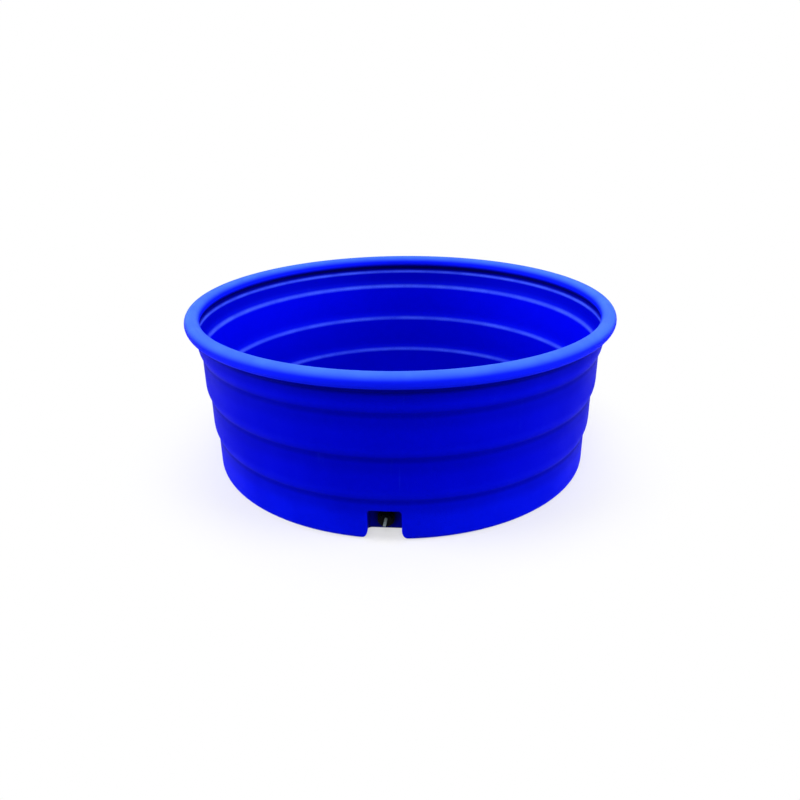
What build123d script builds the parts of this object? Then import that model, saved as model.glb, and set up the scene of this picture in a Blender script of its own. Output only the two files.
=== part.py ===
from build123d import *
import math
import os

# A round, open water tank for livestock, moulded in one piece of polyethylene, with a screw plug in a
# drain recess at its foot. Sizes are in millimetres and +Z is up. The origin is the centre of the base,
# on the ground, and the drain faces -Y.

# ---- tank wall ----
wall = 6.5                    # thickness of the moulding, everywhere
tier_count = 4                # stacked bands of the side wall
base_radius = 729.0           # outer radius of the lowest band
tier_step = 13.0              # each band is this much wider than the one below it
foot_tier_height = 151.0      # ground to the first step
tier_height = 157.0           # step to step
top_tier_height = 75.0        # last step to the neck
shoulder_radius = 88.0        # the lower edge of each band curves in on this radius
foot_radius = 22.0            # round between the side wall and the base
panel_radius = 590.0          # the middle of the base is raised inside this radius
panel_rise = 8.0
panel_slope = 28.0            # width of the slope down to the foot ring

# ---- neck and hollow rim ----
neck_flare = 10.0             # the neck stands this much wider than the top band
neck_rise = 6.0               # height over which it flares
neck_height = 16.0            # top band to the underside of the rim
rim_tube_radius = 27.0
rim_overhang = 11.0           # centre of the rim's tube, outside the top band's face

# ---- drain recess, open at the front and at the ground ----
recess_width = 112.0
recess_height = 112.0
recess_depth = 64.0           # from the side wall's face, on the centre line
recess_corner = 14.0          # top corners
recess_flare = 26.0           # foot of the back wall spreads backwards on this radius
side_flare = 38.0             # feet of the side walls spread outwards on this radius
recess_toe = 1.5              # the ground cuts each spread off this much above its lowest point
recess_edge = 10.0            # edges round the back wall
recess_lip = 4.0              # front edge, round the mouth
recess_blend = 8.0            # inside the tank, where the pocket grows out of the wall and floor

# ---- drain fitting: body through the wall, gasket inside, washer and locknut outside ----
seat_margin = 1.0             # flat wall left between the spread and the washer
barrel_radius = 21.0
barrel_end = 3.0              # barrel proud of the locknut
bore_radius = 16.5            # thread that takes the plug
flange_radius = 29.0
flange_thickness = 6.0
flange_chamfer = 1.5
bore_lead = 1.0
hole_clearance = 0.5          # wall hole round the barrel
gasket_thickness = 3.0
gasket_radius = 28.0
washer_thickness = 2.0
washer_radius = 29.0
nut_thickness = 14.0
nut_across_flats = 54.0
nut_corner_radius = 29.5      # the hexagon's corners are turned down to this
nut_chamfer = 2.0
ring_clearance = 0.3          # rings slipped over a barrel or shank
thread_clearance = 0.05       # running fit of one thread in the other

# ---- plug ----
shank_length = 16.0
shank_core_radius = 12.0      # moulded hollow, open at the inner end
shank_chamfer = 1.2
seal_thickness = 2.5
seal_radius = 20.5
head_radius = 23.0
head_thickness = 6.0
head_chamfer = 1.2
head_floor = 3.5              # left solid between the hollow and the head's face
scallop_count = 12
scallop_radius = 3.0
scallop_depth = 1.2
grip_length = 34.0
grip_width = 10.0
grip_height = 12.0
grip_round = 3.0
grip_lean = 12.0              # degrees from upright, the plug screwed home

# ---- worked out from the sizes above ----
top_radius = base_radius + (tier_count - 1) * tier_step
neck_base = foot_tier_height + (tier_count - 2) * tier_height + top_tier_height
neck_radius = top_radius + neck_flare
rim_centre_radius = top_radius + rim_overhang
rim_centre_height = neck_base + neck_height + rim_tube_radius
tank_height = rim_centre_height + rim_tube_radius
recess_back = base_radius - recess_depth
spread_height = recess_flare - recess_toe
drain_height = spread_height + max(washer_radius, flange_radius, gasket_radius) + seat_margin
clear = 60.0                  # how far a cutting tool runs past what it cuts
flange_face = -wall - gasket_thickness        # along the drain, from the recess's back wall outwards
flange_back = flange_face - flange_thickness
barrel_mouth = washer_thickness + nut_thickness + barrel_end
head_low = barrel_mouth + seal_thickness
shank_radius = bore_radius - thread_clearance
drain_plane = Plane(origin=(0, -recess_back, drain_height), x_dir=(1, 0, 0), z_dir=(0, -1, 0))


def tier_radius(tier):
    """Outer radius of a band, counted up from 0 at the foot."""
    return base_radius + tier * tier_step


def step_height(tier):
    """Height of the crease under a band."""
    return foot_tier_height + (tier - 1) * tier_height


def outer_face():
    """Half section of the tank filled solid, without its rim. It runs past the axis and the neck."""
    sweep = math.acos(1 - tier_step / shoulder_radius)
    curve_rise = shoulder_radius * math.sin(sweep)
    top = tank_height + clear
    lines = [Polyline((-clear, panel_rise), (panel_radius, panel_rise), (panel_radius + panel_slope, 0),
                      (base_radius, 0), (base_radius, foot_tier_height))]
    for tier in range(1, tier_count):
        start = step_height(tier) + curve_rise
        end = step_height(tier + 1) if tier < tier_count - 1 else neck_base
        lines.append(CenterArc((tier_radius(tier) - shoulder_radius, start), shoulder_radius,
                               -math.degrees(sweep), math.degrees(sweep)))
        lines.append(Line((tier_radius(tier), start), (tier_radius(tier), end)))
    lines.append(Polyline((top_radius, neck_base), (neck_radius, neck_base + neck_rise),
                          (neck_radius, top), (-clear, top), (-clear, panel_rise)))
    face = make_face(lines)
    return fillet(face.vertices().sort_by_distance((base_radius, 0))[0], foot_radius)


def box_face(left, right, low, high):
    """Rectangle between two corners."""
    return Pos((left + right) / 2, (low + high) / 2) * Rectangle(right - left, high - low)


def wall_face():
    """Half section of the moulding: stepped wall, floor and hollow rim."""
    envelope = outer_face()
    skin = envelope - offset(envelope, -wall)
    skin &= box_face(0, 2 * rim_centre_radius, -clear, rim_centre_height)
    centre = Pos(rim_centre_radius, rim_centre_height)
    return skin + centre * Circle(rim_tube_radius) - centre * Circle(rim_tube_radius - wall)


def recess_block(grow):
    """The space of the drain recess, grown outwards by a wall's thickness or not at all."""
    half = recess_width / 2
    front = base_radius + clear
    top = recess_height + grow
    block = Pos(0, (grow - recess_back - front) / 2, (top - clear) / 2) * Box(
        2 * (half + grow), front - recess_back + grow, top + clear)
    block = fillet(block.edges().filter_by(Axis.Y).group_by(Axis.Z)[-1], recess_corner + grow)
    back = block.faces().sort_by(Axis.Y)[-1]
    block = fillet(back.edges().filter_by(lambda edge: edge.center().Z > 0), recess_edge + grow)
    return block + recess_foot(grow) + side_feet(grow)


def recess_foot(grow):
    """The rounded spread at the foot of the recess, swept along both sides and the back wall."""
    half = recess_width / 2
    front = base_radius + clear
    path = FilletPolyline((-half, -front), (-half, -recess_back), (half, -recess_back), (half, -front),
                          radius=recess_edge)
    section = box_face(0, recess_flare, -clear, spread_height)
    section -= Pos(recess_flare, spread_height) * Circle(recess_flare - grow)
    return sweep(Plane(path @ 0, x_dir=(-1, 0, 0), z_dir=(0, 1, 0)) * section, path=path)


def side_feet(grow):
    """The wider spread at the foot of both side walls, from the mouth to the back wall."""
    start = Plane(origin=(-recess_width / 2, -base_radius - clear, 0), x_dir=(-1, 0, 0), z_dir=(0, 1, 0))
    height = side_flare - recess_toe
    section = box_face(0, side_flare, -clear, height)
    section -= Pos(side_flare, height) * Circle(side_flare - grow)
    foot = extrude(start * section, clear + recess_depth + grow)
    return foot + mirror(foot, Plane.YZ)


def tank_shell():
    """The moulded tank: wall, floor, hollow rim and the pocket round the drain."""
    shell = revolve(Plane.XZ * wall_face(), Axis.Z)
    solid = revolve(Plane.XZ * (outer_face() & box_face(0, neck_radius, 0, neck_base)), Axis.Z)
    shell += recess_block(wall) & solid
    shell -= recess_block(0)
    lip = shell.edges().sort_by_distance((0, -base_radius, recess_height))[0]
    shell = fillet(lip, recess_lip)
    seam = shell.edges().sort_by_distance((0, wall - base_radius, recess_height + wall))[0]
    shell = fillet(seam, recess_blend)
    return shell - drain_plane * Cylinder(barrel_radius + hole_clearance, 2 * clear)


def ring(inner, outer, low, high):
    """Flat ring on the drain's axis, measured outwards from the recess's back wall."""
    face = Circle(outer) - Circle(inner)
    return drain_plane * Pos(0, 0, low) * extrude(face, high - low)


def drain_body():
    """Flanged barrel put through the wall from inside the tank, bored for the plug."""
    profile = Polyline(
        (bore_radius, flange_back), (flange_radius, flange_back), (flange_radius, flange_face),
        (barrel_radius, flange_face), (barrel_radius, barrel_mouth), (bore_radius, barrel_mouth),
        close=True)
    face = make_face(profile)
    face = chamfer(face.vertices().sort_by_distance((flange_radius, flange_back))[0], flange_chamfer)
    face = chamfer(face.vertices().sort_by_distance((bore_radius, barrel_mouth))[0], bore_lead)
    return drain_plane * revolve(Plane.XZ * face, Axis.Z)


def locknut():
    """Hexagon nut with its corners turned down."""
    low, high = washer_thickness, washer_thickness + nut_thickness
    hexagon = extrude(RegularPolygon(nut_across_flats / 2, 6, major_radius=False), nut_thickness)
    turned = Pos(0, 0, nut_thickness / 2) * Cylinder(nut_corner_radius, nut_thickness)
    turned = chamfer(turned.edges(), nut_chamfer)
    bore = Pos(0, 0, nut_thickness / 2) * Cylinder(barrel_radius + thread_clearance, high - low)
    return drain_plane * Pos(0, 0, low) * ((hexagon & turned) - bore)


def drain_plug():
    """Screw plug: hollow threaded shank, scalloped head and a bar across its face to turn it by."""
    head = Pos(0, 0, head_low + head_thickness / 2) * Cylinder(head_radius, head_thickness)
    head = chamfer(head.edges().group_by(Axis.Z)[-1], head_chamfer)
    scallop = Pos(0, 0, head_low) * Cylinder(scallop_radius, 2 * clear)
    head -= PolarLocations(head_radius + scallop_radius - scallop_depth, scallop_count) * scallop
    shank_end = barrel_mouth - shank_length
    shank = Cylinder(shank_radius, head_low - shank_end, align=(Align.CENTER, Align.CENTER, Align.MIN))
    shank = chamfer(shank.edges().group_by(Axis.Z)[0], shank_chamfer)
    bar = Box(grip_width, grip_length, grip_height, align=(Align.CENTER, Align.CENTER, Align.MIN))
    bar = fillet(bar.edges().filter_by(Axis.Z) + bar.edges().group_by(Axis.Z)[-1], grip_round)
    core = Cylinder(shank_core_radius, head_low + head_thickness - head_floor - shank_end,
                    align=(Align.CENTER, Align.CENTER, Align.MIN))
    plug = head + Pos(0, 0, shank_end) * (shank - core) - Pos(0, 0, shank_end) * core
    plug += Pos(0, 0, head_low + head_thickness) * Rot(0, 0, -grip_lean) * bar
    return drain_plane * plug


pieces = {
    "tank_shell": tank_shell(),
    "drain_body": drain_body(),
    "drain_gasket": ring(barrel_radius + ring_clearance, gasket_radius, flange_face, -wall),
    "locknut_washer": ring(barrel_radius + ring_clearance, washer_radius, 0, washer_thickness),
    "locknut": locknut(),
    "plug_seal": ring(shank_radius + ring_clearance, seal_radius, barrel_mouth, head_low),
    "drain_plug": drain_plug(),
}

os.makedirs("parts", exist_ok=True)
for name, piece in pieces.items():
    export_step(piece, f"parts/{name}.step")
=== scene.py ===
# %% [markdown]
# # A round livestock water tank
# The tank is one blue polyethylene moulding, as wide as a table and knee high. Its wall steps in
# four bands, its rim is a hollow roll, and a black screw plug sits in a recess at the foot. The
# moulding is a finished solid, so it is loaded and not modelled again. Every piece that follows
# takes its place from what the frame measures, so the turned pieces always land on the drain's own
# axis.

# %% Load the frame
import math

import bmesh
import bpy
from mathutils import Matrix, Quaternion, Vector


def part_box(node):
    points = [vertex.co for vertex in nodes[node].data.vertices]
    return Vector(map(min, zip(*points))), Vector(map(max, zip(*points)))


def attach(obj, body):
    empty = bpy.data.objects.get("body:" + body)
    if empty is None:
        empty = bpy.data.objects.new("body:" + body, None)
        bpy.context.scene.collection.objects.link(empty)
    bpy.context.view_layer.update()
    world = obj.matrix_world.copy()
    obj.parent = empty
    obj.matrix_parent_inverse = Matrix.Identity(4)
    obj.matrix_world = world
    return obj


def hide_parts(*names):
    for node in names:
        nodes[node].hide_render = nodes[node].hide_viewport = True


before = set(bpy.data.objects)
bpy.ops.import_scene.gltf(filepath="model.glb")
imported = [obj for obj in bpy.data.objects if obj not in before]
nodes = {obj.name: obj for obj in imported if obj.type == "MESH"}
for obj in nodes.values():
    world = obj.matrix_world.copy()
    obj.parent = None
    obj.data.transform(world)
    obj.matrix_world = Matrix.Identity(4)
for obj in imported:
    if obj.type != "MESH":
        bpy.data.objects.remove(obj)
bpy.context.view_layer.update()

# %% [markdown]
# ## Camera
# The inside of a wide tank shows from a little above the rim, and its drain from nearly straight
# ahead. A camera could be moved and turned by hand until both are in view. Aiming it is surer: it
# stands at a distance from a target on the tank's axis, so one angle can change and the tank stays
# in the middle. A last, very slight roll levels the ground.

# %% Camera
TARGET = Vector((0.0, 0.0, 0.1857))
DISTANCE = 2.9101
ELEVATION = math.radians(23.391)
AZIMUTH = math.radians(4.6)
ROLL = -0.01094
LENS = 32.053
SENSOR = 36.0
SHIFT = -0.0014

camera_data = bpy.data.cameras.new("camera")
camera_data.lens = LENS
camera_data.sensor_width = SENSOR
camera_data.shift_x = SHIFT
camera = bpy.data.objects.new("camera", camera_data)
bpy.context.scene.collection.objects.link(camera)
back = Vector((math.sin(AZIMUTH) * math.cos(ELEVATION), -math.cos(AZIMUTH) * math.cos(ELEVATION),
               math.sin(ELEVATION)))
camera.location = TARGET + back * DISTANCE
camera.rotation_mode = "QUATERNION"
camera.rotation_quaternion = Quaternion(back, ROLL) @ (-back).to_track_quat("-Z", "Y")
bpy.context.scene.camera = camera
print("camera at", [round(v, 3) for v in camera.location])

# %% [markdown]
# ## Even light
# A white studio lights a tank a little from everywhere. The world could do all the lighting, but
# then no side would be brighter than another, so it only adds a little. Two Background nodes part
# the light it gives from the white it shows: a ray from the camera or from a reflection meets plain
# white, and every other ray meets the faint one.


# %% World
def link(tree, *pairs):
    """Join sockets, given as (from, to) pairs."""
    for start, end in pairs:
        tree.links.new(start, end)


def add(tree, kind, operation=None, **values):
    """A new node, with its operation and the values of its named inputs."""
    node = tree.nodes.new("ShaderNode" + kind)
    if operation:
        node.operation = operation
    for name, value in values.items():
        node.inputs[name.replace("_", " ")].default_value = value
    return node


def looked_at(tree):
    """The light paths, and a mask for rays that come from the camera or from a reflection."""
    ray = add(tree, "LightPath")
    seen = add(tree, "Math", "MAXIMUM")
    link(tree, (ray.outputs["Is Camera Ray"], seen.inputs[0]),
         (ray.outputs["Is Glossy Ray"], seen.inputs[1]))
    return ray, seen


AMBIENT = 0.08
WHITE = (1, 1, 1, 1)

scene = bpy.context.scene
scene.view_settings.view_transform = "Standard"
world = bpy.data.worlds.new("studio")
scene.world = world
world.use_nodes = True
tree = world.node_tree
tree.nodes.clear()
even = add(tree, "Background", Color=WHITE, Strength=AMBIENT)
white = add(tree, "Background", Color=WHITE, Strength=1.0)
ray, seen = looked_at(tree)
shown = add(tree, "Math", "MAXIMUM")
choose = add(tree, "MixShader")
out = add(tree, "OutputWorld")
link(tree, (seen.outputs[0], shown.inputs[0]), (ray.outputs["Is Transmission Ray"], shown.inputs[1]),
     (shown.outputs[0], choose.inputs[0]), (even.outputs[0], choose.inputs[1]),
     (white.outputs[0], choose.inputs[2]), (choose.outputs[0], out.inputs[0]))
print("world", world.name, len(tree.nodes), "nodes")

# %% [markdown]
# ## Lamps
# Soft suns stand for a studio's wide panels. Two strong ones come in low from the sides, so the
# curved flanks are brighter than the middle. One from above and in front lights the near rim and
# the far wall, one from behind keeps the back from going dull, and a weak one overhead lights the
# floor. Area lamps would do as well, but a sun has no distance, so the tank keeps its shading from
# every side.

# %% Lamps
SUNS = {                                # strength, spread in degrees, and the way it shines
    "top": (0.4, 50, (0.0, 0.0, -1.0)),
    "front": (1.3, 40, (0.0, 1.0, -1.0)),
    "back": (0.9, 50, (0.0, -1.0, -1.0)),
    "left": (3.1, 40, (1.0, 0.1, -0.3)),
    "right": (2.8, 40, (-1.0, 0.1, -0.3)),
}

for name, (strength, spread, towards) in SUNS.items():
    data = bpy.data.lights.new(name, "SUN")
    data.energy = strength
    data.angle = math.radians(spread)
    lamp = bpy.data.objects.new(name, data)
    scene.collection.objects.link(lamp)
    lamp.rotation_mode = "QUATERNION"
    lamp.rotation_quaternion = Vector(towards).to_track_quat("-Z", "Y")

# %% [markdown]
# ## Floor
# The floor is a wide pale disc just under the tank. A backdrop that curves up behind would do for
# one side only, and a disc serves them all. It is stage, not a piece of the tank.

# %% Floor
FLOOR_RADIUS = 9.0
FLOOR_HEIGHT = -0.0006

bpy.ops.object.select_all(action="DESELECT")
bpy.ops.mesh.primitive_circle_add(vertices=128, radius=FLOOR_RADIUS, fill_type="NGON",
                                  location=(0, 0, FLOOR_HEIGHT))
bpy.ops.object.transform_apply(location=True)
floor = bpy.context.object
floor.name = "floor"
print("floor reaches", round(floor.dimensions.x / 2, 2), "m")

# %% [markdown]
# ## Floor paint
# Near the tank the floor is partly matt paint, so it takes the tank's soft shadow. Further out it
# fades into plain white, so that no horizon shows. The paint is white to look at but only half as
# bright to the light that bounces off it, or the tank's foot would be lit from below as if it stood
# on snow.

# %% Floor paint
FADE_FROM, FADE_TO = 0.72, 1.15         # metres from the tank's axis
NEAR_WHITE = 0.55                       # share of plain white where the fade begins
PAINT_SEEN = (0.95, 0.95, 0.95, 1)
PAINT_BOUNCED = (0.5, 0.5, 0.5, 1)

paint = bpy.data.materials.new("floor_paint")
paint.use_nodes = True
tree = paint.node_tree
tree.nodes.clear()
matt = add(tree, "BsdfDiffuse")
pale = add(tree, "Mix")
pale.data_type = "RGBA"
pale.inputs[6].default_value = PAINT_BOUNCED
pale.inputs[7].default_value = PAINT_SEEN
glow = add(tree, "Emission", Color=WHITE, Strength=1.0)
coords = add(tree, "TexCoord")
reach = add(tree, "VectorMath", "LENGTH")
fade = add(tree, "MapRange", From_Min=FADE_FROM, From_Max=FADE_TO, To_Min=NEAR_WHITE)
fade.interpolation_type = "SMOOTHSTEP"
ray, seen = looked_at(tree)
both = add(tree, "Math", "MULTIPLY")
choose = add(tree, "MixShader")
out = add(tree, "OutputMaterial")
link(tree, (coords.outputs["Object"], reach.inputs[0]), (reach.outputs["Value"], fade.inputs["Value"]),
     (seen.outputs[0], pale.inputs[0]), (pale.outputs[2], matt.inputs["Color"]),
     (fade.outputs[0], both.inputs[0]), (seen.outputs[0], both.inputs[1]),
     (both.outputs[0], choose.inputs[0]), (matt.outputs[0], choose.inputs[1]),
     (glow.outputs[0], choose.inputs[2]), (choose.outputs[0], out.inputs[0]))
floor.data.materials.append(paint)
print(paint.name, len(tree.nodes), "nodes")

# %% [markdown]
# ## The drain's own axis
# The fitting is turned work: flange, barrel, nut, rings and plug share one axis, which runs out
# through the recess. It is easiest to model each piece standing up along Z from the recess's back
# wall, and to lay it over at the end. A quarter turn about X takes Z to the drain's direction, -Y.

# %% The drain's place
MM = 0.001

low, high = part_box("locknut_washer")
DRAIN = Matrix.Translation((0.5 * (low[0] + high[0]), high[1], 0.5 * (low[2] + high[2]))) \
    @ Matrix.Rotation(math.radians(90), 4, "X")


def span(node):
    """How far a node reaches along the drain, in mm from the recess's back wall."""
    low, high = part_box(node)
    origin = DRAIN.translation.y
    return (origin - high[1]) / MM, (origin - low[1]) / MM


for name in ("drain_body", "drain_gasket", "locknut_washer", "locknut", "plug_seal", "drain_plug"):
    print(name, "along the drain from %.1f to %.1f mm" % span(name))

# %% [markdown]
# ## Working as by hand
# An operator acts on whatever is selected, so each step starts with a clean selection, and edges
# are picked by their height. Pieces of the fitting could be spun from drawn outlines. A machinist's
# way is easier to change: take a blank, round its ends, then join it to others, cut with it or trim
# with it.


# %% Selecting and combining
def fresh(active=None):
    """Leave edit mode, deselect everything, and make one piece the active one."""
    if bpy.context.mode != "OBJECT":
        bpy.ops.object.mode_set(mode="OBJECT")
    bpy.ops.object.select_all(action="DESELECT")
    if active:
        active.select_set(True)
        bpy.context.view_layer.objects.active = active


def pick_edges(piece, height):
    """In edit mode, select only the edges that lie at one height, in mm."""
    mesh = bmesh.from_edit_mesh(piece.data)
    for part in (*mesh.faces, *mesh.edges, *mesh.verts):
        part.select_set(False)
    for edge in mesh.edges:
        if all(abs(vert.co.z - height * MM) < 1e-7 for vert in edge.verts):
            edge.select_set(True)
    mesh.select_flush_mode()
    bmesh.update_edit_mesh(piece.data)


def combine(piece, tool, how):
    """Join, cut or keep what `tool` shares with `piece`; the tool is used up."""
    fresh(piece)
    step = piece.modifiers.new("combine", "BOOLEAN")
    step.object, step.operation, step.solver = tool, how, "EXACT"
    bpy.ops.object.modifier_apply(modifier=step.name)
    bpy.data.objects.remove(tool, do_unlink=True)


# %% [markdown]
# ## Blanks
# Turned pieces begin as blanks: plain cylinders whose end edges are already rounded. An outline spun
# round the axis would give the same, but a bevel on a cylinder needs only a height and a radius. Where
# every sharp edge has to go at once, a Bevel modifier finds them by their angle.

# %% Blanks and soft edges
SHARP = math.radians(40)                # edges sharper than this are softened


def blank(name, radius, low, high, round_low=0.0, round_high=0.0, sides=96, segments=3):
    """A cylinder standing on Z, its end edges rounded by a bevel. Sizes are in mm."""
    fresh()
    bpy.ops.mesh.primitive_cylinder_add(vertices=sides, radius=radius * MM, depth=(high - low) * MM,
                                        location=(0, 0, 0.5 * (low + high) * MM))
    piece = bpy.context.object
    piece.name = name
    bpy.ops.object.transform_apply(location=True)
    for height, size in ((low, round_low), (high, round_high)):
        if size:
            bpy.ops.object.mode_set(mode="EDIT")
            bpy.ops.mesh.select_mode(type="EDGE")
            pick_edges(piece, height)
            bpy.ops.mesh.bevel(offset=size * MM, segments=segments, affect="EDGES")
            bpy.ops.object.mode_set(mode="OBJECT")
    return piece


def soften_edges(piece, width, segments):
    """Bevel every sharp edge. The width is in mm."""
    fresh(piece)
    soften = piece.modifiers.new("soften", "BEVEL")
    soften.width, soften.segments, soften.limit_method = width * MM, segments, "ANGLE"
    soften.angle_limit = SHARP
    bpy.ops.object.modifier_apply(modifier=soften.name)


# %% [markdown]
# ## Threads
# A thread is a ridge that climbs one pitch in a turn. By hand it is a zigzag line, one tooth to a
# pitch, that the Screw modifier sweeps round the axis while it rises by a pitch. The turn's end
# then meets its start one tooth higher, so merging the doubles closes the spiral. Two bisects with
# a fill trim the ragged ends, and what is left is a solid threaded rod. The same rod, a hair
# larger, cuts the thread inside a nut or a barrel, so a screw and its nut always match.

# %% A threaded rod
PITCH = 2.2085          # a 1 inch pipe thread has 11.5 turns to the inch
TOOTH = 1.05            # how deep the thread is
FLAT = 0.36             # width of the flats on crest and root
FLANK = 0.5 * PITCH - FLAT
THREAD_SIDES = 72
print("thread: pitch %.2f mm, %.2f mm deep" % (PITCH, TOOTH))


def threaded_rod(name, crest, low, high):
    """A solid right-handed screw between two heights, its teeth `TOOTH` deep under `crest`."""
    fresh()
    bpy.ops.mesh.primitive_plane_add(size=MM)
    rod = bpy.context.object
    rod.name = name
    bpy.ops.object.mode_set(mode="EDIT")
    bpy.ops.mesh.select_all(action="SELECT")
    bpy.ops.mesh.merge(type="CENTER")
    bpy.ops.mesh.select_all(action="SELECT")
    first = math.floor(low / PITCH) - 2
    last = math.ceil(high / PITCH) + 1
    bpy.ops.transform.translate(value=((crest - TOOTH) * MM, 0, first * PITCH * MM))
    for _ in range(first, last):
        for out_by, up_by in ((0, FLAT), (TOOTH, FLANK), (0, FLAT), (-TOOTH, FLANK)):
            bpy.ops.mesh.extrude_vertices_move(
                TRANSFORM_OT_translate={"value": (out_by * MM, 0, up_by * MM)})
    bpy.ops.object.mode_set(mode="OBJECT")
    fresh(rod)
    sweep = rod.modifiers.new("sweep", "SCREW")
    sweep.axis, sweep.screw_offset, sweep.angle = "Z", PITCH * MM, math.tau
    sweep.steps = sweep.render_steps = THREAD_SIDES
    bpy.ops.object.modifier_apply(modifier=sweep.name)
    bpy.ops.object.mode_set(mode="EDIT")
    bpy.ops.mesh.select_all(action="SELECT")
    bpy.ops.mesh.remove_doubles(threshold=2e-6)
    for height, upper in ((low, False), (high, True)):
        bpy.ops.mesh.select_all(action="SELECT")
        bpy.ops.mesh.bisect(plane_co=(0, 0, height * MM), plane_no=(0, 0, 1), use_fill=True,
                            clear_inner=not upper, clear_outer=upper)
    bpy.ops.mesh.select_all(action="SELECT")
    bpy.ops.mesh.normals_make_consistent(inside=False)
    bpy.ops.object.mode_set(mode="OBJECT")
    return rod


# %% [markdown]
# ## Laying a piece over
# A finished piece is smoothed and laid over onto the drain. It could keep its turn on the object,
# but applying the turn leaves the object at the origin with its place in its mesh, as the solids
# have. Then the piece is put under the body it moves with, and the solid it stands for is hidden.


# %% Laying over
def lay_over(piece, body, node):
    """Smooth a finished piece, place it on the drain, and tell the frame what it is."""
    fresh(piece)
    bpy.ops.object.shade_smooth_by_angle(angle=math.radians(32))
    piece.matrix_world = DRAIN
    bpy.ops.object.transform_apply(location=True, rotation=True, scale=True)
    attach(piece, body)
    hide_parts(node)
    mesh = bmesh.new()
    mesh.from_mesh(piece.data)
    open_edges = sum(not edge.is_manifold for edge in mesh.edges)
    print(piece.name, len(piece.data.vertices), "vertices,", open_edges, "open edges, volume %.1f cm3"
          % (mesh.calc_volume() * 1e6))
    mesh.free()
    return piece


# %% [markdown]
# ## Outlet body
# The outlet is put through the wall from inside the tank. A flange holds the gasket against the
# wall, and its barrel carries two threads: one outside for the locknut and one inside for the plug.
# It is built as a bevelled disc joined to a threaded rod, a finer rod cuts the bore, and a cone
# opens the bore's mouth so that the plug finds its way in.

# %% Outlet body
FLANGE_RADIUS = 29.0
BARREL_CREST = 21.0
BORE_CREST = 16.5
RUNNING = 0.05          # a thread stands this far off the thread it turns in
LEAD_IN = 3.0           # height of the cone at the mouth, and its widening

inner_end, mouth = span("drain_body")
flange_face = span("drain_gasket")[0]

outlet = threaded_rod("outlet_body", BARREL_CREST, inner_end + 2.0, mouth)
combine(outlet, blank("lead", BARREL_CREST + 0.1, inner_end + 1.0, mouth, round_high=1.3, segments=1),
        "INTERSECT")
combine(outlet, blank("flange", FLANGE_RADIUS, inner_end, flange_face, 1.5, 0.4), "UNION")
combine(outlet, threaded_rod("bore", BORE_CREST, inner_end - 1.0, mouth + 1.0), "DIFFERENCE")
fresh()
bpy.ops.mesh.primitive_cone_add(vertices=96, radius1=(BORE_CREST - 0.5 * LEAD_IN) * MM,
                                radius2=(BORE_CREST + 0.5 * LEAD_IN) * MM, depth=LEAD_IN * MM,
                                location=(0, 0, (mouth - 0.3) * MM))
bpy.ops.object.transform_apply(location=True)
combine(outlet, bpy.context.object, "DIFFERENCE")
outlet = lay_over(outlet, "tank", "drain_body")

# %% [markdown]
# ## Locknut
# The nut is a hexagon with its corners turned down, as moulded plastic nuts are, so that a wrench
# seats on the flats and no corner is sharp. A turned blank trims the hexagon, and a rod a hair
# larger than the barrel's cuts the thread.

# %% Locknut
ACROSS_FLATS = 54.0
TURNED_RADIUS = 29.5

nut_low, nut_high = span("locknut")
fresh()
bpy.ops.mesh.primitive_cylinder_add(
    vertices=6, radius=ACROSS_FLATS / math.sqrt(3) * MM, depth=(nut_high - nut_low) * MM,
    location=(0, 0, 0.5 * (nut_low + nut_high) * MM))
nut = bpy.context.object
nut.name = "lock_nut"
bpy.ops.object.transform_apply(location=True)
combine(nut, blank("turning", TURNED_RADIUS, nut_low, nut_high, 2.0, 2.0, segments=4), "INTERSECT")
combine(nut, threaded_rod("nut_bore", BARREL_CREST + RUNNING, nut_low - 1.0, nut_high + 1.0),
        "DIFFERENCE")
nut = lay_over(nut, "tank", "locknut")

# %% [markdown]
# ## Rings
# The gasket, the washer and the plug's seal are flat rings pressed between harder faces. Soft rings
# have no sharp edge. A torus would be too round, so each is a flat blank with a hole cut through
# it, and the hole's edges are bevelled with the rest.


# %% Gasket, washer and seal
def flat_ring(name, node, inner, outer, edge, body):
    """A ring that fills its node's place along the drain, all its edges bevelled. Sizes are in mm."""
    low, high = span(node)
    ring = blank(name, outer, low, high)
    combine(ring, blank("hole", inner, low - 1, high + 1), "DIFFERENCE")
    soften_edges(ring, edge, 3)
    return lay_over(ring, body, node)


OVER_BARREL = 21.3      # bore of the rings that slip over the barrel
gasket = flat_ring("flange_gasket", "drain_gasket", OVER_BARREL, 28.0, 0.5, "tank")
washer = flat_ring("nut_washer", "locknut_washer", OVER_BARREL, 29.0, 0.3, "tank")
seal = flat_ring("seal_ring", "plug_seal", 16.75, 20.5, 0.6, "seal")

# %% [markdown]
# ## Head of the plug
# The plug's round head has twelve scallops that give fingers a hold. They could be modelled one by
# one in the rim, but twelve small cylinders, joined into one cutter, make them all in a single cut.
# The head is bevelled while it is still simple, before anything joins it.

# %% Plug head
HEAD_RADIUS = 23.0
HEAD_THICKNESS = 6.0
SCALLOPS = 12
SCALLOP_RADIUS = 3.0
SCALLOP_DEPTH = 1.2

shank_end = span("drain_plug")[0]
seal_low, head_low = span("plug_seal")
head_top = head_low + HEAD_THICKNESS

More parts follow.
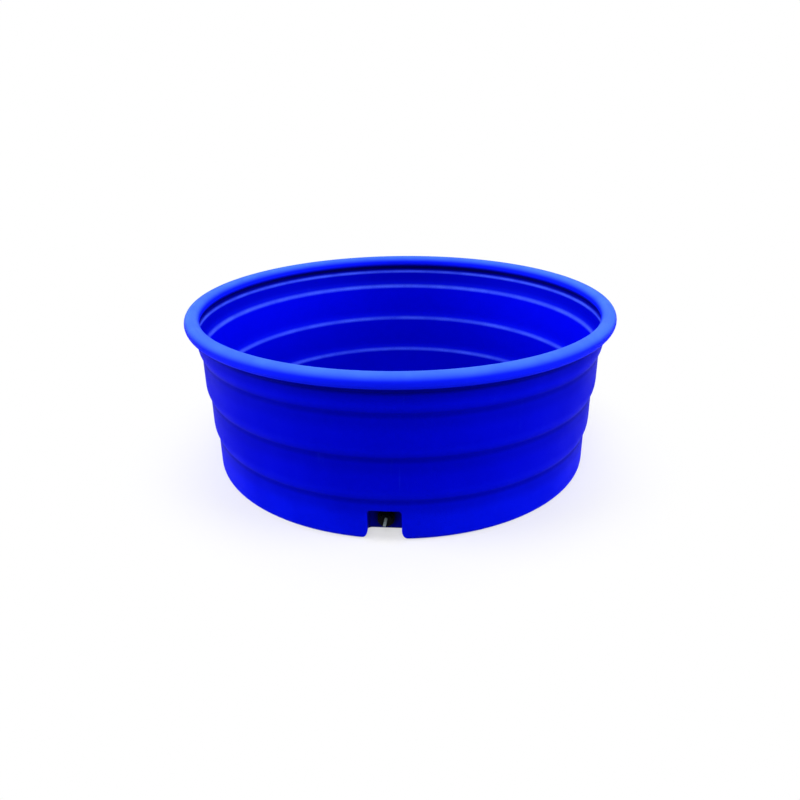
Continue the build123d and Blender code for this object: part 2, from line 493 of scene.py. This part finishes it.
head = blank("head", HEAD_RADIUS, head_low, head_top, sides=144)
fresh()
reach = HEAD_RADIUS + SCALLOP_RADIUS - SCALLOP_DEPTH
for turn in range(SCALLOPS):
    angle = math.tau * turn / SCALLOPS
    bpy.ops.mesh.primitive_cylinder_add(
        vertices=32, radius=SCALLOP_RADIUS * MM, depth=20 * MM,
        location=(reach * math.cos(angle) * MM, reach * math.sin(angle) * MM, head_low * MM))
    if turn:
        cutters.select_set(True)
        bpy.context.view_layer.objects.active = cutters
        bpy.ops.object.join()
    else:
        cutters = bpy.context.object
combine(head, cutters, "DIFFERENCE")
soften_edges(head, 0.9, 3)
print("head %.0f mm across, %d scallops" % (2 * HEAD_RADIUS, SCALLOPS))

# %% [markdown]
# ## Grip bar
# A bar across the head takes a stick or a wrench when the plug is tight. It is a cube drawn out to
# the bar's size, with generous bevels, since a moulded bar has no corners. It leans a little from
# upright, as it stands when the plug is screwed home, and its root is sunk in the head so that they
# join.

# %% Grip bar
GRIP_WIDTH, GRIP_LENGTH, GRIP_HEIGHT = 10.0, 34.0, 12.0
GRIP_ROOT = 3.0                         # how deep the bar is sunk in the head
GRIP_LEAN = math.radians(12.0)

fresh()
bpy.ops.mesh.primitive_cube_add(size=1, location=(0, 0, 0))
grip = bpy.context.object
grip.name = "grip"
grip.scale = (GRIP_WIDTH * MM, GRIP_LENGTH * MM, (GRIP_HEIGHT + GRIP_ROOT) * MM)
grip.rotation_euler.z = -GRIP_LEAN
grip.location = (0, 0, (head_top + 0.5 * (GRIP_HEIGHT - GRIP_ROOT)) * MM)
bpy.ops.object.transform_apply(location=False, rotation=False, scale=True)
bpy.ops.object.transform_apply(location=True, rotation=True, scale=True)
soften_edges(grip, 2.8, 5)
print("grip", len(grip.data.vertices), "vertices")

# %% [markdown]
# ## Screw plug
# The shank is a threaded rod with a plain neck under the head, and it is hollow, as a thick
# moulding would sink and warp. A blank trims its tip to a lead. Shank, neck, head and bar are
# joined at the end, so that each keeps the bevels it got while it was simple.

# %% Screw plug
CORE_RADIUS = 12.0
HEAD_FLOOR = 3.5                        # what the hollow leaves of the head

plug = threaded_rod("screw_plug", BORE_CREST - RUNNING, shank_end, seal_low - 0.2)
combine(plug, blank("lead", BORE_CREST, shank_end, head_top, round_low=1.2, segments=1), "INTERSECT")
combine(plug, blank("neck", BORE_CREST - TOOTH - 0.1, seal_low - 1.5, head_low + 1.0), "UNION")
combine(plug, head, "UNION")
combine(plug, blank("core", CORE_RADIUS, shank_end - 1.0, head_top - HEAD_FLOOR, round_high=1.5),
        "DIFFERENCE")
combine(plug, grip, "UNION")
plug = lay_over(plug, "plug", "drain_plug")

# %% [markdown]
# ## Finishes
# Rotomoulded polyethylene is never one flat colour. Its skin has a fine orange peel from the mould,
# the wall waves a little from place to place, and edges that are handled rub pale. Each of these
# effects is a shader node group, built once and placed in every material with its own values, so
# the tank, the fitting and the seals belong together. A few helpers keep the node trees as short as
# sums on paper.


# %% Small helpers for node trees
def feed(tree, socket, value):
    """Link a socket to another one, or set it to a plain value."""
    if isinstance(value, bpy.types.NodeSocket):
        tree.links.new(value, socket)
    else:
        socket.default_value = value


def calc(tree, operation, a, b=None):
    """A Math node, given as its operation and one or two values."""
    node = add(tree, "Math", operation)
    feed(tree, node.inputs[0], a)
    if b is not None:
        feed(tree, node.inputs[1], b)
    return node.outputs[0]


def times(tree, first, *others):
    """The product of several values."""
    for value in others:
        first = calc(tree, "MULTIPLY", first, value)
    return first


# %% [markdown]
# ## Masks and coats
# Nearly every mark is made the same way: a value is ramped into a mask from 0 to 1, and the mask lays
# one colour over another. A Color Ramp could do both at once, but its stops can't take values from
# other nodes. So the ramp and the cover are two helpers, and noise is the third, to make them uneven.


# %% Ramps, covers and noise
def ramp(tree, value, start, end, low=0.0, high=1.0):
    """Goes smoothly from low to high while the value goes from start to end."""
    node = add(tree, "MapRange")
    node.interpolation_type = "SMOOTHSTEP"
    for label, number in zip(("Value", "From Min", "From Max", "To Min", "To Max"),
                             (value, start, end, low, high)):
        feed(tree, node.inputs[label], number)
    return node.outputs[0]


def cover(tree, mask, under, over):
    """One colour, covered by another as far as the mask says."""
    node = add(tree, "Mix")
    node.data_type = "RGBA"
    feed(tree, node.inputs[0], mask)
    for socket, colour in ((node.inputs[6], under), (node.inputs[7], over)):
        feed(tree, socket, colour if isinstance(colour, bpy.types.NodeSocket) else (*colour, 1.0))
    return node.outputs[2]


def noise(tree, place, scale, detail=2.0, rough=0.5):
    """Cloudy noise from 0 to 1 at so many lumps to the metre."""
    node = add(tree, "TexNoise", Detail=detail, Roughness=rough)
    feed(tree, node.inputs["Vector"], place)
    feed(tree, node.inputs["Scale"], scale)
    return node.outputs["Fac"]


# %% [markdown]
# ## Shared effects
# An effect that several materials share is kept in a node group with named inputs, like a function.
# Its nodes could be copied from one material to the next, until the first change. A group changes
# everywhere at once, and each material still gives it values of its own.


# %% Shared groups, made and placed
def group(name, inputs, outputs):
    """An empty shader node group with named sockets, and its two ends."""
    tree = bpy.data.node_groups.new(name, "ShaderNodeTree")
    for label, kind, value in inputs:
        socket = tree.interface.new_socket(name=label, in_out="INPUT", socket_type="NodeSocket" + kind)
        if value is not None:
            socket.default_value = value
    for label in outputs:
        tree.interface.new_socket(name=label, in_out="OUTPUT", socket_type="NodeSocketFloat")
    return tree, tree.nodes.new("NodeGroupInput").outputs, tree.nodes.new("NodeGroupOutput").inputs


def use(tree, shared, **values):
    """Place a shared group in a material, with its own values."""
    node = tree.nodes.new("ShaderNodeGroup")
    node.node_tree = shared
    for label, value in values.items():
        feed(tree, node.inputs[label], value)
    return node.outputs


# %% [markdown]
# ## The skin a mould leaves
# A moulded wall copies the fine blast marks of its mould, which read as orange peel, and it drifts
# in thickness, which reads as slow clouds. Sculpting that would take millions of faces, and noise
# gives it for nothing: a slow one for the clouds, and a fine one with a finer one mixed in for the
# peel.

# %% Shared effect: mould skin
tree, given, gives = group(
    "mould_skin", [("Place", "Vector", None), ("Cloud", "Float", 7.0), ("Grain", "Float", 240.0)],
    ["Cloud", "Peel"])
feed(tree, gives["Cloud"], noise(tree, given["Place"], given["Cloud"], 3.0))
coarse = noise(tree, given["Place"], given["Grain"], 2.0, 0.6)
fine = noise(tree, given["Place"], times(tree, given["Grain"], 4.0), 1.0)
feed(tree, gives["Peel"], calc(tree, "ADD", times(tree, coarse, 0.75), times(tree, fine, 0.25)))
skin_group = tree
print(skin_group.name, len(skin_group.nodes), "nodes")

# %% [markdown]
# ## Scuffs
# Buckets, chains and hooves drag down a wall and leave fine upright streaks that come in patches.
# They could be drawn one by one. A noise that is squeezed in one direction draws them on any piece,
# and a second, much slower noise decides where they come.

# %% Shared effect: scuffs
tree, given, gives = group(
    "scuffs", [("Place", "Vector", None), ("Scale", "Float", 90.0),
               ("Stretch", "Vector", (1.0, 1.0, 0.05))], ["Mask"])
drawn = add(tree, "VectorMath", "MULTIPLY")
link(tree, (given["Place"], drawn.inputs[0]), (given["Stretch"], drawn.inputs[1]))
streak = ramp(tree, noise(tree, drawn.outputs[0], given["Scale"], 3.0, 0.6), 0.62, 0.74)
patch = noise(tree, given["Place"], times(tree, given["Scale"], 0.06), 2.0)
feed(tree, gives["Mask"], times(tree, streak, ramp(tree, patch, 0.46, 0.64)))
scuff_group = tree
print(scuff_group.name, len(scuff_group.nodes), "nodes")

# %% [markdown]
# ## Rubbed edges
# Hard black plastic greys first where a wrench or a boot touches it, along its edges. A painted
# mask would have to be painted again after every change of shape. The Bevel node rounds the normal
# close to an edge, so wherever the rounded normal leaves the true one, there is an edge.

# %% Shared effect: rubbed edges
tree, given, gives = group("rubbed_edges", [("Radius", "Float", 0.001)], ["Mask"])
rounded = tree.nodes.new("ShaderNodeBevel")
rounded.samples = 6
feed(tree, rounded.inputs["Radius"], given["Radius"])
flat = add(tree, "NewGeometry")
apart = add(tree, "VectorMath", "DOT_PRODUCT")
link(tree, (rounded.outputs["Normal"], apart.inputs[0]), (flat.outputs["Normal"], apart.inputs[1]))
feed(tree, gives["Mask"], ramp(tree, apart.outputs["Value"], 0.99, 0.80))
edge_group = tree
print(edge_group.name, len(edge_group.nodes), "nodes")

# %% [markdown]
# ## Lines at the steps
# The wall steps in at three heights, all one rise apart, and painted shade and highlights follow the
# steps.
# Each could have its own mask. As the steps are evenly spaced, one group finds the nearest step to
# a height and says how close it is, and every effect borrows it with its own offset and width.

# %% Shared effect: step lines
FIRST_STEP, STEP_RISE, LAST_STEP = 0.151, 0.157, 2.0
TOP_STEP = FIRST_STEP + LAST_STEP * STEP_RISE

tree, given, gives = group(
    "step_lines", [("Height", "Float", 0.0), ("First", "Float", FIRST_STEP),
                   ("Rise", "Float", STEP_RISE), ("Width", "Float", 0.004)], ["Near"])
above = calc(tree, "SUBTRACT", given["Height"], given["First"])
which = calc(tree, "ROUND", calc(tree, "DIVIDE", above, given["Rise"]))
which = calc(tree, "MINIMUM", calc(tree, "MAXIMUM", which, 0.0), LAST_STEP)
away = calc(tree, "ABSOLUTE", calc(tree, "SUBTRACT", above, times(tree, which, given["Rise"])))
feed(tree, gives["Near"], ramp(tree, away, given["Width"], 0.0))
step_group = tree
print(step_group.name, len(step_group.nodes), "nodes, top step at %.3f m" % TOP_STEP)

# %% [markdown]
# ## A satin surface
# Every piece of the tank is a satin plastic or rubber: a plain Principled surface with little
# gloss. The steady values are set on the shader itself. Fine relief is stacked Bump nodes, each fed
# with the normal of the one before, which shade the surface and leave its outline to the mesh.


# %% Satin and relief
def satin(name, roughness, specular, tint=(1.0, 1.0, 1.0)):
    """A material with a plain satin surface, its tree and its shader."""
    material = bpy.data.materials.new(name)
    material.use_nodes = True
    tree = material.node_tree
    shader = tree.nodes["Principled BSDF"]
    shader.inputs["Roughness"].default_value = roughness
    shader.inputs["Specular IOR Level"].default_value = specular
    shader.inputs["Specular Tint"].default_value = (*tint, 1.0)
    return material, tree, shader


def relief(tree, *layers):
    """Stack bumps, each given as (height, depth in metres, strength)."""
    normal = None
    for height, depth, strength in layers:
        bump = add(tree, "Bump", Strength=strength, Distance=depth)
        feed(tree, bump.inputs["Height"], height)
        if normal:
            feed(tree, bump.inputs["Normal"], normal)
        normal = bump.outputs["Normal"]
    return normal


# %% [markdown]
# ## Places and distances
# Most marks sit at some distance from something: a step, the axis, the drain. Three short helpers
# part a place into its axes and measure with them, as ruler and set square would.


# %% Places and distances
def parts(tree, vector):
    """A vector's X, Y and Z."""
    node = add(tree, "SeparateXYZ")
    feed(tree, node.inputs[0], vector)
    return [node.outputs[axis] for axis in "XYZ"]


def far(tree, a, b):
    """How far two legs at right angles reach together."""
    return calc(tree, "SQRT", calc(tree, "ADD", times(tree, a, a), times(tree, b, b)))


def between(tree, a, b):
    """The plain distance from one value to another."""
    return calc(tree, "ABSOLUTE", calc(tree, "SUBTRACT", a, b))


# %% [markdown]
# ## Blue tank plastic: where on the tank
# The plastic is coloured right through, a strong blue that takes light as a satin surface does.
# Marks on it follow the height, the rim and the two sides of the wall. They could be painted on an
# unwrapped map. Here they are worked out from the place and from the way the surface faces, so they
# are on the tank from every side and need no seam. A face looks outwards if its normal points away
# from the axis.

# %% Tank plastic: place, height and sides
RIM_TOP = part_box("tank_shell")[1][2]
RIM_FOOT = RIM_TOP - 0.054              # underside of the rolled rim
RIM_WAIST = RIM_TOP - 0.027             # where the roll is widest
NECK_LEDGE = TOP_STEP + 0.0735          # inside, where the neck widens above the top band

tank_plastic, tree, shader = satin("blue_polyethylene", 0.5, 0.012, (0.3, 0.7, 1.0))
coords = add(tree, "TexCoord")
place = coords.outputs["Object"]
x, y, height = parts(tree, place)
x_way, y_way, up = parts(tree, coords.outputs["Normal"])
outwards = calc(tree, "ADD", times(tree, x, x_way), times(tree, y, y_way))
inner = ramp(tree, outwards, 0.02, -0.02)
outer = calc(tree, "SUBTRACT", 1.0, inner)
on_rim = ramp(tree, height, RIM_FOOT - 0.002, RIM_FOOT + 0.010)
skin = use(tree, skin_group, Place=place, Cloud=6.0, Grain=230.0)
uneven = ramp(tree, noise(tree, place, 9.0, 3.0), 0.3, 0.7, 0.6, 1.0)
print("rim from %.3f to %.3f m, neck ledge at %.3f m" % (RIM_FOOT, RIM_TOP, NECK_LEDGE))

# %% [markdown]
# ## Blue tank plastic: the blue itself
# The foot band is painted a little lighter than the wall above it, as painted light from the floor,
# and slow clouds deepen the blue here and there. Inside it is the other way round: painted shade
# makes it deeper low down and fresher near the top, and the top band under the rim is painted darker
# still as shade. One colour ramp with many stops could hold all of this, but it would be hard to
# change. So each tone is a Mix node laid over the last, as thin coats are, and one can be changed
# while the rest stay.

# %% Tank plastic: blue inside and out
FOOT_LIT_BLUE = (0.0, 0.004, 0.76)
HIGH_BLUE = (0.0, 0.001, 0.62)
CLOUD_BLUE = (0.0, 0.001, 0.50)
INNER_LOW_SHADE = (0.0, 0.001, 0.65)
INNER_HIGH = (0.0, 0.001, 0.80)
INNER_NECK_SHADE = (0.0, 0.001, 0.54)

# Painted light: the foot band is lighter than the wall above it.
body = cover(tree, ramp(tree, height, 0.05, 0.24), FOOT_LIT_BLUE, HIGH_BLUE)
body = cover(tree, times(tree, ramp(tree, skin["Cloud"], 0.35, 0.75), 0.35), body, CLOUD_BLUE)
# Painted shade inside: deeper low down, lighter near the top, and darker again in the top band under
# the rim.
inside = cover(tree, ramp(tree, height, 0.14, 0.47), INNER_LOW_SHADE, INNER_HIGH)
inside = cover(tree, ramp(tree, height, TOP_STEP + 0.002, TOP_STEP + 0.008), inside, INNER_NECK_SHADE)
body = cover(tree, times(tree, inner, 0.95), body, inside)
print("blue", len(tree.nodes), "nodes")

# %% [markdown]
# ## Blue tank plastic: steps
# Outside, each step ends in a crease with painted shade: a narrow dark line at the crease and a
# wider, fainter band under it, while the band just above it gets a painted highlight. Inside, the
# band above each ledge is painted lighter, and each ledge gets a thin painted highlight line. The
# lamps give some of this light and shade, and the rest is painted into the colour. All of it is the
# one group of step lines, with an offset from the step, a width and a strength.

# %% Tank plastic: creases and ridges
FLARE_LIT_BLUE = (0.0, 0.003, 0.80)
CREASE_SHADE_BLUE = (0.0, 0.0004, 0.24)
RIM_LIT_BLUE = (0.003, 0.011, 1.0)
SCUFF_AND_HIGHLIGHT_BLUE = (0.062, 0.125, 1.0)


def steps(offset, width):
    """A soft band beside every step of the wall, so far above it and so wide to each side."""
    return use(tree, step_group, Height=height, First=FIRST_STEP + offset, Rise=STEP_RISE,
               Width=width)["Near"]


# Painted light and shade at the steps: a highlight on the outer band above each step, shade in two
# widths under each crease, and a lighter inner band above each ledge.
for offset, width, strength, side, colour in (
        (0.026, 0.026, 0.35, outer, FLARE_LIT_BLUE), (-0.028, 0.045, 0.25, outer, CREASE_SHADE_BLUE),
        (-0.005, 0.017, 0.60, outer, CREASE_SHADE_BLUE), (0.012, 0.026, 0.30, inner, RIM_LIT_BLUE)):
    body = cover(tree, times(tree, steps(offset, width), side, strength), body, colour)

# Painted highlight: a thin pale line along each inner ledge and along the neck's ledge.
ledge = ramp(tree, between(tree, height, NECK_LEDGE), 0.0095, 0.0)
ridge_highlight = times(tree, calc(tree, "MAXIMUM", steps(0.0038, 0.0125), ledge), inner)
body = cover(tree, times(tree, ridge_highlight, uneven), body, SCUFF_AND_HIGHLIGHT_BLUE)
pits = times(tree, ramp(tree, skin["Peel"], 0.52, 0.34), 0.25)
body = cover(tree, pits, body, CLOUD_BLUE)
print("steps", len(tree.nodes), "nodes")

# %% [markdown]
# ## Blue tank plastic: rim
# The rolled rim is painted a brighter blue than the wall, as painted light, and its crown carries a
# pale painted highlight, strongest where it faces the sky. The highlight is a mask of how far up
# the surface faces.

# %% Tank plastic: rim and bloom
RIM_HIGHLIGHT_BLUE = (0.062, 0.185, 1.0)

# Painted light: the whole rim is a brighter blue than the wall.
body = cover(tree, on_rim, body, RIM_LIT_BLUE)
# Painted highlight on the rim's crown, by how far up the surface faces.
rim_highlight = times(tree, ramp(tree, up, 0.10, 1.0), on_rim, ramp(tree, uneven, 0.6, 1.0, 0.85, 1.0))
body = cover(tree, rim_highlight, body, RIM_HIGHLIGHT_BLUE)
print("rim", len(tree.nodes), "nodes")

# %% [markdown]
# ## Blue tank plastic: painted shade beside the rim
# The roll shades the wall where it meets it, inside and out. Lamps as wide as these leave that
# corner too light, so the shade is painted into the plastic as two deep-blue masks: a narrow dark
# one at the corner, and a fainter one that trails down the outside.

# %% Tank plastic: shade beside the rim
SHADE_BLUE = (0.0, 0.0003, 0.15)
CORNER = RIM_FOOT - 0.013               # middle of the dark corner outside

over = ramp(tree, height, RIM_WAIST, RIM_FOOT + 0.008)
under = ramp(tree, height, NECK_LEDGE + 0.003, RIM_FOOT - 0.001)
inside_shade = times(tree, over, under, inner)
below = ramp(tree, between(tree, height, CORNER), 0.022, 0.002)
lower_down = times(tree, ramp(tree, height, RIM_FOOT - 0.065, RIM_FOOT - 0.020, 0.0, 0.28),
                   ramp(tree, height, RIM_FOOT + 0.004, RIM_FOOT - 0.004))
outside_shade = calc(tree, "MAXIMUM", times(tree, below, outer, 0.7), times(tree, lower_down, outer))
# Painted shade where the roll meets the wall, inside and out.
body = cover(tree, calc(tree, "MAXIMUM", inside_shade, outside_shade), body, SHADE_BLUE)
print("shade", len(tree.nodes), "nodes")

# %% [markdown]
# ## Blue tank plastic: the drain recess
# The recess lies in shade, and that shade is painted into the plastic, darkest round the fitting.
# The painted shade has to stop at the recess's edges, and must not come through to the tank's
# inside, which is only a wall's thickness away. So it is fenced in on every side: beside, above and
# behind by the recess's own walls, with the round spread at their feet, and in front by the radius of
# the lowest band.

# %% Tank plastic: painted shade in the recess
WALL_FACE = 0.729                       # radius of the lowest band
POCKET_HALF, POCKET_TOP, POCKET_BACK = 0.056, 0.112, -0.665
SIDE_FOOT = (0.0365, 0.038)             # height and radius of the round at the sides' feet
BACK_FOOT = (0.0245, 0.026)             # and at the back wall's foot
POCKET_SHADE_BLUE = (0.0, 0.0008, 0.34)
POCKET_SHADE_DARK = (0.0, 0.0002, 0.02)


def foot_spread(foot, radius):
    """How far a wall's round foot stands out: most on the ground, nothing above the foot."""
    drop = calc(tree, "MAXIMUM", calc(tree, "SUBTRACT", foot, height), 0.0)
    depth = calc(tree, "SQRT", calc(tree, "SUBTRACT", radius * radius, times(tree, drop, drop)))
    return calc(tree, "SUBTRACT", radius, depth)


def within(value, limit):
    """1 up to a wall's face, and nothing once past the middle of the wall."""
    return ramp(tree, value, limit + 0.004, limit + 0.001)


sideways = calc(tree, "ABSOLUTE", x)
beside = calc(tree, "SUBTRACT", sideways, foot_spread(*SIDE_FOOT))
back_spread = times(tree, foot_spread(*BACK_FOOT),
                    ramp(tree, sideways, POCKET_HALF + 0.014, POCKET_HALF + 0.004))
behind = calc(tree, "SUBTRACT", y, back_spread)
in_front = ramp(tree, far(tree, x, y), WALL_FACE - 0.001, WALL_FACE - 0.016)
pocket = times(tree, within(beside, POCKET_HALF), within(height, POCKET_TOP),
               within(behind, POCKET_BACK), in_front)
round_drain = far(tree, sideways, calc(tree, "SUBTRACT", height, DRAIN.translation.z))
# Painted shade in the recess, darkest round the fitting.
recess_shade = cover(tree, ramp(tree, round_drain, 0.026, 0.062), POCKET_SHADE_DARK, POCKET_SHADE_BLUE)
body = cover(tree, times(tree, pocket, ramp(tree, uneven, 0.6, 1.0, 0.88, 1.0)), body, recess_shade)
print("recess", len(tree.nodes), "nodes")

# %% [markdown]
# ## Blue tank plastic: scuffs, gloss and relief
# Scuffs are faint on the wall and clearer near the ground, where hooves reach. They are duller as
# well as paler, so the same mask raises the roughness. The relief has three layers: the slow wave
# of the wall, the orange peel, and a hair-fine seam round the rim where the mould's halves meet.

# %% Tank plastic: scuffs, gloss and relief
scuff = use(tree, scuff_group, Place=place, Scale=110.0)["Mask"]
near_ground = times(tree, ramp(tree, height, 0.10, 0.0), 0.12)
scuff = times(tree, scuff, calc(tree, "ADD", near_ground, 0.04))
feed(tree, shader.inputs["Base Color"], cover(tree, scuff, body, SCUFF_AND_HIGHLIGHT_BLUE))
gloss = ramp(tree, skin["Cloud"], 0.3, 0.7, 0.46, 0.54)
feed(tree, shader.inputs["Roughness"], calc(tree, "ADD", gloss, times(tree, scuff, 0.2)))
seam = times(tree, ramp(tree, between(tree, height, RIM_WAIST), 0.0012, 0.0), outer)
feed(tree, shader.inputs["Normal"], relief(tree, (skin["Cloud"], 0.010, 0.35),
                                           (skin["Peel"], 0.0020, 0.7), (seam, 0.0008, 0.6)))
print(tank_plastic.name, len(tree.nodes), "nodes")

# %% [markdown]
# ## Black fitting plastic
# The outlet, nut, washer and plug are black plastic with a fine grain, a little greyer along edges
# that a wrench has touched. One function makes all three kinds, which differ in gloss and grain, so
# a change to the black reaches every one of them.

# %% Fitting and washer plastic
BLACK = (0.0015, 0.0015, 0.002)
RUBBED = (0.008, 0.0085, 0.009)


def black_plastic(name, roughness, peel):
    """Grained black plastic with rubbed edges. Gives the material, tree, shader, colour and place."""
    material, tree, shader = satin(name, roughness, 0.03)
    place = add(tree, "TexCoord").outputs["Object"]
    skin = use(tree, skin_group, Place=place, Cloud=60.0, Grain=1600.0)
    edge = use(tree, edge_group, Radius=0.0009)["Mask"]
    edge = times(tree, edge, ramp(tree, skin["Cloud"], 0.35, 0.65, 0.2, 0.8))
    scuff = use(tree, scuff_group, Place=place, Scale=1500.0, Stretch=(0.1, 1.0, 1.0))["Mask"]
    worn = calc(tree, "MAXIMUM", edge, times(tree, scuff, 0.35))
    colour = cover(tree, worn, BLACK, RUBBED)
    gloss = ramp(tree, skin["Cloud"], 0.3, 0.7, roughness - 0.05, roughness + 0.07)
    feed(tree, shader.inputs["Base Color"], colour)
    feed(tree, shader.inputs["Roughness"], gloss)
    feed(tree, shader.inputs["Normal"], relief(tree, (skin["Peel"], 0.0002, peel)))
    return material, tree, shader, colour, place


fitting_plastic = black_plastic("black_polypropylene", 0.42, 0.35)[0]
washer_plastic = black_plastic("washer_polyethylene", 0.34, 0.15)[0]
print(fitting_plastic.name, washer_plastic.name, len(washer_plastic.node_tree.nodes), "nodes each")

# %% [markdown]
# ## The plug's painted highlight
# The crown of the bar across the plug stands out into the light at the recess's mouth, so a pale
# highlight is painted on it, brightest at its lower end. The bar is one piece with the plug, so it
# can't just have a material of its own. Its crown is what stands out furthest along the drain, so a
# ramp along Y finds it.

# %% Plug plastic
BAR_HIGHLIGHT_GREY = (0.30, 0.37, 0.37)

plug_plastic, tree, shader, colour, place = black_plastic("plug_polypropylene", 0.44, 0.35)
_, y, height = parts(tree, place)
head_face = DRAIN.translation.y - head_top * MM
axis_height = DRAIN.translation.z
crown = ramp(tree, y, head_face - 0.004, head_face - 0.011)
lower = ramp(tree, height, axis_height + 0.015, axis_height - 0.013, 0.35, 1.0)
patchy = ramp(tree, noise(tree, place, 240.0, 3.0), 0.30, 0.55, 0.55, 1.0)
# Painted highlight on the bar's crown, brightest at its lower end.
bar_highlight = times(tree, crown, lower, patchy)
feed(tree, shader.inputs["Base Color"], cover(tree, bar_highlight, colour, BAR_HIGHLIGHT_GREY))
print(plug_plastic.name, len(tree.nodes), "nodes")

# %% [markdown]
# ## Seal rubber
# The gasket and the plug's seal are soft black rubber: dull, with a dusty bloom in clouds and a
# very fine grain. It has no rubbed edges, because rubber gives way where plastic is worn.

# %% Seal rubber
RUBBER = (0.011, 0.011, 0.011)
DUSTY = (0.028, 0.028, 0.027)

seal_rubber, tree, shader = satin("black_rubber", 0.8, 0.3)
place = add(tree, "TexCoord").outputs["Object"]
skin = use(tree, skin_group, Place=place, Cloud=90.0, Grain=2200.0)
dust = ramp(tree, skin["Cloud"], 0.35, 0.7)
feed(tree, shader.inputs["Base Color"], cover(tree, dust, RUBBER, DUSTY))
feed(tree, shader.inputs["Roughness"], ramp(tree, skin["Cloud"], 0.3, 0.7, 0.72, 0.88))
feed(tree, shader.inputs["Normal"], relief(tree, (skin["Peel"], 0.0002, 0.4)))
print(seal_rubber.name, len(tree.nodes), "nodes")

# %% [markdown]
# ## Dressing the pieces
# The tank's shell is shown as the solid it is, so the solid wears the blue. Each piece of the
# fitting stands for a solid of the same part. Both get the same finish, so that they match wherever
# either shows.

# %% Put the materials on
finishes = {"tank_shell": tank_plastic, "drain_body": fitting_plastic, "locknut": fitting_plastic,
            "drain_gasket": seal_rubber, "plug_seal": seal_rubber, "locknut_washer": washer_plastic,
            "drain_plug": plug_plastic}
dressed = {"drain_body": outlet, "locknut": nut, "drain_gasket": gasket, "locknut_washer": washer,
           "plug_seal": seal, "drain_plug": plug}
for name, finish in finishes.items():
    for thing in (nodes[name], dressed.get(name)):
        if thing:
            thing.data.materials.clear()
            thing.data.materials.append(finish)
print(len(finishes), "nodes finished with", len(set(finishes.values())), "materials")
